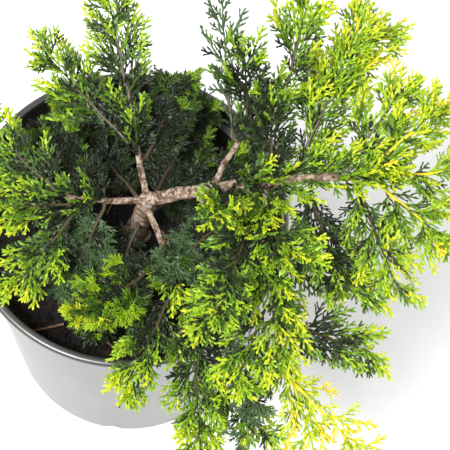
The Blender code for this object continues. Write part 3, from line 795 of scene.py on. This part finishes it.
BARK_RING = 0.8 * MM
BARK_RINGS_AT_LEAST = 8
BARK_SIDES = 22
BARK_PHASES = 6
FURROWS = 5
FURROW_DEPTH = 0.07
FURROW_DRIFT = 0.9
FURROW_WAVE = 0.35
FLAKES = 3
FLAKE_DEPTH = 0.09
FLAKE_LEAN = 0.9
FLAKE_WAVE = 0.55
SWELL_DEPTH = 0.025
SWELL_WAVE = 0.42
BARK_GRAIN = 0.03


def bark_relief(turn, run, phases):
    """The bark's height at a turn round the limb and a run along it, in mm."""
    drift = FURROW_DRIFT * math.sin(run * FURROW_WAVE + phases[1])
    furrow = math.sin(FURROWS * turn + phases[0] + drift)
    flake = math.sin(FLAKES * turn + run * FLAKE_LEAN + phases[2]) * math.sin(run * FLAKE_WAVE + phases[3])
    swell = math.sin(run * SWELL_WAVE + phases[4])
    return 1 + FURROW_DEPTH * furrow + FLAKE_DEPTH * max(0.0, flake) + SWELL_DEPTH * swell


def make_limb(name, limb, surface):
    """A limb with its bark: long furrows, lifted flakes and slow swellings, in the mesh itself."""
    length = length_of(limb.points)
    count = max(BARK_RINGS_AT_LEAST, round(length / BARK_RING))
    shares = [k / count for k in range(count + 1)]
    runs = [np.linalg.norm(b - a) for a, b in zip(limb.points, limb.points[1:])]
    centres = [along(limb.points, share)[0] for share in shares]
    radii = np.interp(shares, np.cumsum([0] + runs) / length, limb.radii)
    seeded = random.Random(name)
    phases = [seeded.uniform(0, 2 * math.pi) for _ in range(BARK_PHASES)]
    places, rings = [], []
    for share, centre, radius, (across, up) in zip(shares, centres, radii, ring_frames(centres)):
        rings.append((len(places), BARK_SIDES))
        for side in range(BARK_SIDES):
            turn = 2 * math.pi * side / BARK_SIDES
            relief = bark_relief(turn, share * length / MM, phases)
            relief += seeded.uniform(-BARK_GRAIN, BARK_GRAIN)
            places.append(centre + radius * relief * (across * math.cos(turn) + up * math.sin(turn)))
    bundle = Bundle()
    bundle.add(np.array(places), ring_faces(rings, BARK_SIDES))
    piece = add_piece("bark_" + name, bundle, [surface], smooth=True)
    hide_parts(name)


# Pot. Angles in its profile are in degrees, from outwards to upwards.

DOWNWARDS, OUTWARDS, UPWARDS, INWARDS = -90, 0, 90, 180
CORNER_STEPS = 8
LIP_STEPS = 12
LIP_UNDERSIDE = -80
EDGE_STEPS = 5
SHARP_ANGLE = 32


def rounded(centre_radius, centre_height, size, start, end, steps):
    """Points of a round corner in a profile, from a start angle to an end angle."""
    points = []
    for k in range(steps + 1):
        angle = math.radians(start + (end - start) * k / steps)
        points.append((centre_radius + size * math.cos(angle), centre_height + size * math.sin(angle)))
    return points


def pot_inner_radius(height):
    share = height / POT_COLLAR_FOOT
    return POT_BASE_RADIUS + (POT_SHOULDER_RADIUS - POT_BASE_RADIUS) * share - POT_WALL


def pot_profile():
    """The source's section with rounder corners: underside, wall, collar, rolled lip, ledge and floor."""
    roll = POT_LIP_HEIGHT / 2
    shoulder = POT_COLLAR_FOOT - POT_STEP
    lip_inside = POT_COLLAR_RADIUS - POT_WALL
    ledge = shoulder + POT_EDGE
    outside = [(0, 0)]
    corner = (POT_BASE_RADIUS - POT_CORNER, POT_CORNER, POT_CORNER)
    outside += rounded(*corner, DOWNWARDS, OUTWARDS, CORNER_STEPS)
    outside += [(POT_SHOULDER_RADIUS, shoulder), (POT_COLLAR_RADIUS - POT_EDGE / 2, POT_COLLAR_FOOT)]
    outside += [(POT_COLLAR_RADIUS, POT_HEIGHT - POT_LIP_HEIGHT - POT_EDGE / 2)]
    outside += rounded(POT_LIP_RADIUS - roll, POT_HEIGHT - roll, roll, LIP_UNDERSIDE, UPWARDS, LIP_STEPS)
    edge = (lip_inside + POT_EDGE, POT_HEIGHT - POT_EDGE, POT_EDGE)
    inside = rounded(*edge, UPWARDS, INWARDS, EDGE_STEPS)
    inside += [(lip_inside, POT_COLLAR_FOOT + POT_EDGE), (pot_inner_radius(shoulder), ledge)]
    inside += [(pot_inner_radius(POT_FLOOR), POT_FLOOR), (0, POT_FLOOR)]
    return outside + inside


def turned(profile, segments):
    """A mesh from a profile of (radius, height) points, from axis to axis, turned round +Z."""
    places, faces, starts = [], [], []
    for radius, height in profile:
        starts.append((len(places), segments if radius else 1))
        for k in range(segments if radius else 1):
            turn = 2 * math.pi * k / segments
            places.append((radius * math.cos(turn), radius * math.sin(turn), height))
    for (low, low_count), (high, high_count) in zip(starts, starts[1:]):
        for k in range(segments):
            corners = [low + k % low_count, low + (k + 1) % low_count]
            corners += [high + (k + 1) % high_count, high + k % high_count]
            faces.append(list(dict.fromkeys(corners)))
    mesh = bpy.data.meshes.new("turned")
    mesh.from_pydata(places, [], faces)
    return mesh


def drain_cutter(turn):
    """A round bar that slopes down and out through the pot's base corner."""
    outwards = np.array((math.cos(turn), math.sin(turn), 0))
    drop = (outwards - UP) * DRAIN_REACH
    corner = outwards * POT_BASE_RADIUS
    mesh = bpy.data.meshes.new("drain")
    places, faces = tube([corner - drop, corner + drop], [DRAIN_HOLE_RADIUS] * 2, DRAIN_HOLE_SIDES)
    mesh.from_pydata(places, [], faces)
    return add_object("drain", mesh)


def make_pot(surface):
    """The moulded pot, as smooth as it leaves its mould, with the drain holes cut through its corner."""
    pot = add_object("pot_moulding", turned(pot_profile(), POT_SEGMENTS))
    cutters = []
    for k in range(DRAIN_HOLES):
        cut = pot.modifiers.new("drain", "BOOLEAN")
        cut.object = drain_cutter(2 * math.pi * (k + 0.5) / DRAIN_HOLES)
        cut.solver = "EXACT"
        cutters.append(cut.object)
    graph = bpy.context.evaluated_depsgraph_get()
    baked = bpy.data.meshes.new_from_object(pot.evaluated_get(graph))
    pot.modifiers.clear()
    pot.data = baked
    for cutter in cutters:
        bpy.data.objects.remove(cutter)
    pot.data.materials.clear()
    pot.data.materials.append(surface)
    pot.data.shade_smooth()
    pot.data.set_sharp_from_angle(angle=math.radians(SHARP_ANGLE))
    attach(pot, "root")
    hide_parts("pot")


# Potting mix. Sizes of crumbs and sticks are in mm, a crumb's spin and tilt in radians.

MIX_SEED = 31
CRUMBS = 2600
CRUMB_SMALLEST = 0.7
CRUMB_GROWS = 2.0
CRUMB_RARITY = 3
CRUMB_SPIN = 6.3
CRUMB_TILT = 0.6
CRUMB_LENGTHS = (0.8, 1.7)
CRUMB_WIDTHS = (0.6, 1.0)
CRUMB_THICKNESS = 0.55
CRUMB_CORNERS_VARY = (0.75, 1.2)
CRUMB_HEIGHTS = (0.2, 1.5)
DARK_CRUMBS = 0.88
CRUMB_POINTS = np.array(((1, 0, 0), (-1, 0, 0), (0, 1, 0), (0, -1, 0), (0, 0, 1), (0, 0, -1)), float)
CRUMB_UPPER_FACES = ((0, 2, 4), (2, 1, 4), (1, 3, 4), (3, 0, 4))
CRUMB_LOWER_FACES = ((2, 0, 5), (1, 2, 5), (3, 1, 5), (0, 3, 5))
CRUMB_FACES = np.array(CRUMB_UPPER_FACES + CRUMB_LOWER_FACES)

STICKS = 46
STICK_ROOM = 12
STICK_HEIGHT = 1.9
STICK_CLIMB = 2
STICK_LENGTHS = (5, 17)
STICK_STEP = 3
STICK_TURN = 40
STICK_ZIGZAG = 6
STICK_RADII = (0.3, 0.6)
STICK_SIDES = 5
STICK_CLEARANCE = 2

# Sticks that show in the open part of the mix, in mm and degrees.
Stick = namedtuple("Stick", "x y heading length turn radius")
SEEN_STICKS = (
    Stick(-41.5, -60.8, 20, 17.5, 8, 0.6),
    Stick(-27.6, 2.1, -64, 5.5, 0, 1.4),
    Stick(-27.6, -20.4, 80, 21, 50, 0.8),
    Stick(-24.5, -0.4, -56, 22, -40, 0.8),
)
SEEN_STICK_HEIGHT = 2.2
SEEN_STICK_CLIMB = 3
SEEN_STICK_STEP = 2.5
SEEN_STICK_ZIGZAG = 4
SEEN_STICK_SIDES = 7

# The crumbs' materials: name, dark colour and light colour, in the order of the tones.
MIX_FINISHES = (
    ("composted_bark", "#070402", "#21140B"),
    ("brown_bark", "#170D07", "#3E2615"),
    ("pale_stick", "#6B4A30", "#B08D67"),
)
DARK_CRUMB, BROWN_CRUMB, PALE_STICK = range(3)


def add_crumb(crumbs, seeded):
    """One crumb: an uneven eight-sided chip that lies nearly flat on the mix."""
    size = MM * (CRUMB_SMALLEST + CRUMB_GROWS * seeded.random() ** CRUMB_RARITY)
    radius = (POT_INNER_RADIUS - 2 * size) * math.sqrt(seeded.random())
    turn = seeded.uniform(0, 2 * math.pi)
    spin = Matrix.Rotation(seeded.uniform(0, CRUMB_SPIN), 3, "Z")
    spin = spin @ Matrix.Rotation(seeded.uniform(-CRUMB_TILT, CRUMB_TILT), 3, "X")
    length, width = size * seeded.uniform(*CRUMB_LENGTHS), size * seeded.uniform(*CRUMB_WIDTHS)
    uneven = np.array([[seeded.uniform(*CRUMB_CORNERS_VARY)] for _ in CRUMB_POINTS])
    points = (CRUMB_POINTS * uneven * np.array((length, width, size * CRUMB_THICKNESS))) @ np.array(spin).T
    height = SOIL_TOP + seeded.uniform(*CRUMB_HEIGHTS) * MM
    place = np.array((radius * math.cos(turn), radius * math.sin(turn), height))
    tone = DARK_CRUMB if seeded.random() < DARK_CRUMBS else BROWN_CRUMB
    crumbs.add(points + place, CRUMB_FACES, tone)


def add_stick(crumbs, seeded):
    """One thin stick, left out where it would reach the pot's wall."""
    radius = (POT_INNER_RADIUS - STICK_ROOM * MM) * math.sqrt(seeded.random())
    turn = seeded.uniform(0, 2 * math.pi)
    foot = (radius * math.cos(turn), radius * math.sin(turn), SOIL_TOP + STICK_HEIGHT * MM)
    heading, length = seeded.uniform(0, FULL_TURN), seeded.uniform(*STICK_LENGTHS) * MM
    points = walk(foot, heading, STICK_CLIMB, length, STICK_STEP * MM, STICK_TURN, 0, STICK_ZIGZAG)
    if np.hypot(points[-1][0], points[-1][1]) < POT_INNER_RADIUS - STICK_CLEARANCE * MM:
        radii = [seeded.uniform(*STICK_RADII) * MM] * len(points)
        crumbs.add(*tube(points, radii, STICK_SIDES), PALE_STICK)


def add_seen_stick(crumbs, stick):
    foot = (stick.x * MM, stick.y * MM, SOIL_TOP + SEEN_STICK_HEIGHT * MM)
    bends = (SEEN_STICK_STEP * MM, stick.turn, 0, SEEN_STICK_ZIGZAG)
    points = walk(foot, stick.heading, SEEN_STICK_CLIMB, stick.length * MM, *bends)
    crumbs.add(*tube(points, [stick.radius * MM] * len(points), SEEN_STICK_SIDES), PALE_STICK)


def make_crumbs(surfaces):
    """Crumbs of composted bark and a few pale sticks that lie on the potting mix."""
    seeded = random.Random(MIX_SEED)
    crumbs = Bundle()
    for _ in range(CRUMBS):
        add_crumb(crumbs, seeded)
    for _ in range(STICKS):
        add_stick(crumbs, seeded)
    for stick in SEEN_STICKS:
        add_seen_stick(crumbs, stick)
    add_piece("mix_crumbs", crumbs, surfaces)


# Materials. Each pattern's scale is worked out from the size of its marks on the real surface.

WAX_SPECKS = 1.11 * MM
BARK_FLAKES = 2.38 * MM
BARK_PATCHES = 8.33 * MM
MIX_FIBRES = 3.33 * MM
POT_SMEARS = 28.6 * MM
POT_GRAIN = 0.714 * MM

BARK_BROWN = "#4A3020"
BARK_TAN = "#8A7258"
BARK_GREY_PINK = "#B3A091"
POT_BLACK = "#232120"
POT_DUST = "#3B3733"

# The sockets of a node that mixes two colours.
LOW, HIGH, MIXED = 6, 7, 2


def linear(hex_colour):
    """An sRGB hex colour as linear RGBA."""
    channels = [int(hex_colour[i : i + 2], 16) / 255 for i in (1, 3, 5)]
    return [c / 12.92 if c <= 0.04045 else ((c + 0.055) / 1.055) ** 2.4 for c in channels] + [1.0]


def set_inputs(tree, node, inputs):
    """Sets inputs of a node, each to a value or to the output of another node."""
    for name, value in inputs.items():
        if isinstance(value, bpy.types.NodeSocket):
            tree.links.new(value, node.inputs[name])
        else:
            node.inputs[name].default_value = value


def add_node(tree, kind, output, inputs=None, **settings):
    """Adds a node with its inputs and settings, and gives the output that is asked for."""
    node = tree.nodes.new(kind)
    for name, value in settings.items():
        setattr(node, name, value)
    set_inputs(tree, node, inputs or {})
    return node.outputs[output]


def new_material(name):
    """A material with its node tree and its shader."""
    made = bpy.data.materials.new(name)
    made.use_nodes = True
    return made, made.node_tree, made.node_tree.nodes["Principled BSDF"]


def leaf_material(tone):
    """Living leaves in one plain colour: wax in fine specks gives them a broken, soft gloss.

    The specks are drawn at about 1 mm, coarser than real wax, so that they show.
    """
    surface, tree, shader = new_material("living_leaf_" + tone)
    place = add_node(tree, "ShaderNodeTexCoord", "Object")
    specks = {"Vector": place, "Scale": 1 / WAX_SPECKS, "Detail": 3.0}
    bloom = add_node(tree, "ShaderNodeTexNoise", "Fac", specks)
    gloss = add_node(tree, "ShaderNodeMapRange", "Result", {"Value": bloom, "To Min": 0.36, "To Max": 0.62})
    skin = {"Height": bloom, "Strength": 0.25, "Distance": 0.1 * MM}
    finish = {
        "Base Color": linear(TONE_COLOURS[tone]),
        "Roughness": gloss,
        "Subsurface Weight": 0.06,
        "Subsurface Scale": 0.6 * MM,
        "Subsurface Radius": (0.6, 1.0, 0.25),
        "Normal": add_node(tree, "ShaderNodeBump", "Normal", skin),
    }
    set_inputs(tree, shader, finish)
    return surface


def bark_material():
    """Young bark that flakes off as the stem thickens: dull, grey-pink flakes over tan and brown."""
    surface, tree, shader = new_material("flaking_bark")
    place = add_node(tree, "ShaderNodeTexCoord", "Object")
    scales = {"Vector": place, "Scale": 1 / BARK_FLAKES, "Detail": 5.0, "Roughness": 0.65}
    flakes = add_node(tree, "ShaderNodeTexNoise", "Fac", scales)
    areas = {"Vector": place, "Scale": 1 / BARK_PATCHES, "Detail": 2.0}
    patches = add_node(tree, "ShaderNodeTexNoise", "Fac", areas)
    patchy = {"Value": patches, "From Min": 0.4, "From Max": 0.62}
    tint = add_node(tree, "ShaderNodeMapRange", "Result", patchy)
    flaky = {"Value": flakes, "From Min": 0.46, "From Max": 0.58}
    edge = add_node(tree, "ShaderNodeMapRange", "Result", flaky)
    under = {"Factor": tint, LOW: linear(BARK_BROWN), HIGH: linear(BARK_TAN)}
    ground = add_node(tree, "ShaderNodeMix", MIXED, under, data_type="RGBA")
    over = {"Factor": edge, LOW: ground, HIGH: linear(BARK_GREY_PINK)}
    relief = {"Height": flakes, "Strength": 0.7, "Distance": 0.3 * MM}
    finish = {
        "Base Color": add_node(tree, "ShaderNodeMix", MIXED, over, data_type="RGBA"),
        "Roughness": 0.85,
        "Normal": add_node(tree, "ShaderNodeBump", "Normal", relief),
    }
    set_inputs(tree, shader, finish)
    return surface


def mix_material(name, dark, light):
    """Composted bark, ground and kept moist: dull and crumbly, with paler fibres."""
    surface, tree, shader = new_material(name)
    place = add_node(tree, "ShaderNodeTexCoord", "Object")
    grains = {"Vector": place, "Scale": 1 / MIX_FIBRES, "Detail": 6.0, "Roughness": 0.7}
    fibres = add_node(tree, "ShaderNodeTexNoise", "Fac", grains)
    pale = {"Value": fibres, "From Min": 0.45, "From Max": 0.7}
    edge = add_node(tree, "ShaderNodeMapRange", "Result", pale)
    colours = {"Factor": edge, LOW: linear(dark), HIGH: linear(light)}
    relief = {"Height": fibres, "Strength": 0.9, "Distance": 0.8 * MM}
    finish = {
        "Base Color": add_node(tree, "ShaderNodeMix", MIXED, colours, data_type="RGBA"),
        "Roughness": 0.8,
        "Normal": add_node(tree, "ShaderNodeBump", "Normal", relief),
    }
    set_inputs(tree, shader, finish)
    return surface


def pot_material():
    """Injection-moulded black plastic: a satin sheen with broad dusty smears and a fine moulded grain.

    The grain is drawn at 0.7 mm, coarser than the mould's own, so that it shows.
    """
    surface, tree, shader = new_material("moulded_black_plastic")
    place = add_node(tree, "ShaderNodeTexCoord", "Object")
    smears = {"Vector": place, "Scale": 1 / POT_SMEARS, "Detail": 5.0, "Roughness": 0.6}
    dust = add_node(tree, "ShaderNodeTexNoise", "Fac", smears)
    dusty = {"Value": dust, "From Min": 0.45, "From Max": 0.75}
    film = add_node(tree, "ShaderNodeMapRange", "Result", dusty)
    colours = {"Factor": film, LOW: linear(POT_BLACK), HIGH: linear(POT_DUST)}
    marks = {"Vector": place, "Scale": 1 / POT_GRAIN, "Detail": 2.0}
    grain = add_node(tree, "ShaderNodeTexNoise", "Fac", marks)
    sheen = {"Value": dust, "To Min": 0.30, "To Max": 0.52}
    relief = {"Height": grain, "Strength": 0.2, "Distance": 0.1 * MM}
    finish = {
        "Base Color": add_node(tree, "ShaderNodeMix", MIXED, colours, data_type="RGBA"),
        "Roughness": add_node(tree, "ShaderNodeMapRange", "Result", sheen),
        "Specular IOR Level": 1.0,
        "Coat Weight": 0.7,
        "Coat Roughness": 0.28,
        "Normal": add_node(tree, "ShaderNodeBump", "Normal", relief),
    }
    set_inputs(tree, shader, finish)
    return surface


def dress(node, surface):
    """Puts a material on every slot of a CAD node that stays shown."""
    for material_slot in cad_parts[node].material_slots:
        material_slot.material = surface


# Stage, light and camera: places and sizes in metres, angles in degrees, the lens in mm, power in watts.

FLOOR_HALF = 4.0
PAPER_WHITE = (0.98, 0.98, 0.98, 1.0)
PAPER_ROUGHNESS = 0.7
STUDIO_WHITE = (1.0, 1.0, 1.0, 1.0)
STUDIO_STRENGTH = 0.66
LIGHT_TARGET = (0.04, 0, 0.2)
Lamp = namedtuple("Lamp", "name place size power")
LAMPS = (
    Lamp("soft_box", (-0.5, -0.6, 1.5), 0.6, 33),
    Lamp("fill", (1.1, 0.4, 1.2), 1.2, 5),
)
CAMERA_PLACE = (0.0498, -0.3121, 0.8596)
CAMERA_DOWN = 65.89
CAMERA_ROLL = 7.57
CAMERA_LENS = 120
CAMERA_SENSOR = 36


def make_floor():
    """A sheet of matt white paper that the pot stands on."""
    low, high = -FLOOR_HALF, FLOOR_HALF
    corners = [(low, low, 0), (high, low, 0), (high, high, 0), (low, high, 0)]
    mesh = bpy.data.meshes.new("floor")
    mesh.from_pydata(corners, [], [(0, 1, 2, 3)])
    surface, tree, shader = new_material("white_paper")
    set_inputs(tree, shader, {"Base Color": PAPER_WHITE, "Roughness": PAPER_ROUGHNESS})
    mesh.materials.append(surface)
    add_object("floor", mesh)


def make_light():
    """An even white studio, a soft box from the left for the shadows and a weak fill from the right."""
    world = bpy.data.worlds.new("studio")
    bpy.context.scene.world = world
    world.use_nodes = True
    walls = {"Color": STUDIO_WHITE, "Strength": STUDIO_STRENGTH}
    set_inputs(world.node_tree, world.node_tree.nodes["Background"], walls)
    for lamp in LAMPS:
        area = bpy.data.lights.new(lamp.name, "AREA")
        area.size = lamp.size
        area.energy = lamp.power
        light = add_object(lamp.name, area)
        light.location = lamp.place
        aim = Vector(LIGHT_TARGET) - Vector(lamp.place)
        light.rotation_euler = aim.to_track_quat("-Z", "Y").to_euler()
    bpy.context.scene.view_settings.view_transform = "Standard"


def make_camera():
    """The photograph's view: from the front, steeply down, with a slight roll."""
    down, roll = math.radians(CAMERA_DOWN), math.radians(CAMERA_ROLL)
    ahead = Vector((0, math.cos(down), -math.sin(down)))
    right = Vector((1, 0, 0))
    top = Vector((0, math.sin(down), math.cos(down)))
    rolled_right = right * math.cos(roll) + top * math.sin(roll)
    rolled_top = top * math.cos(roll) - right * math.sin(roll)
    lens = bpy.data.cameras.new("photo_view")
    lens.lens = CAMERA_LENS
    lens.sensor_width = CAMERA_SENSOR
    camera = add_object("photo_view", lens)
    turn = Matrix((rolled_right, rolled_top, -ahead)).transposed().to_4x4()
    camera.matrix_world = Matrix.Translation(CAMERA_PLACE) @ turn
    bpy.context.scene.camera = camera


def main():
    make_camera()
    make_light()
    make_floor()
    limbs = plan_limbs()
    bark = bark_material()
    for name, limb in limbs.items():
        make_limb(name, limb, bark)
    surfaces = [leaf_material(tone) for tone in TONES]
    stock = make_sprays()
    for number, mass in enumerate(MASSES):
        grow_mass(mass, number, limbs, stock, surfaces)
    for number, growth in enumerate(BOUGH_GROWTH):
        grow_bough(growth, number, limbs, stock, surfaces)
    make_pot(pot_material())
    mix_surfaces = [mix_material(*finish) for finish in MIX_FINISHES]
    dress("potting_mix", mix_surfaces[DARK_CRUMB])
    make_crumbs(mix_surfaces)


main()
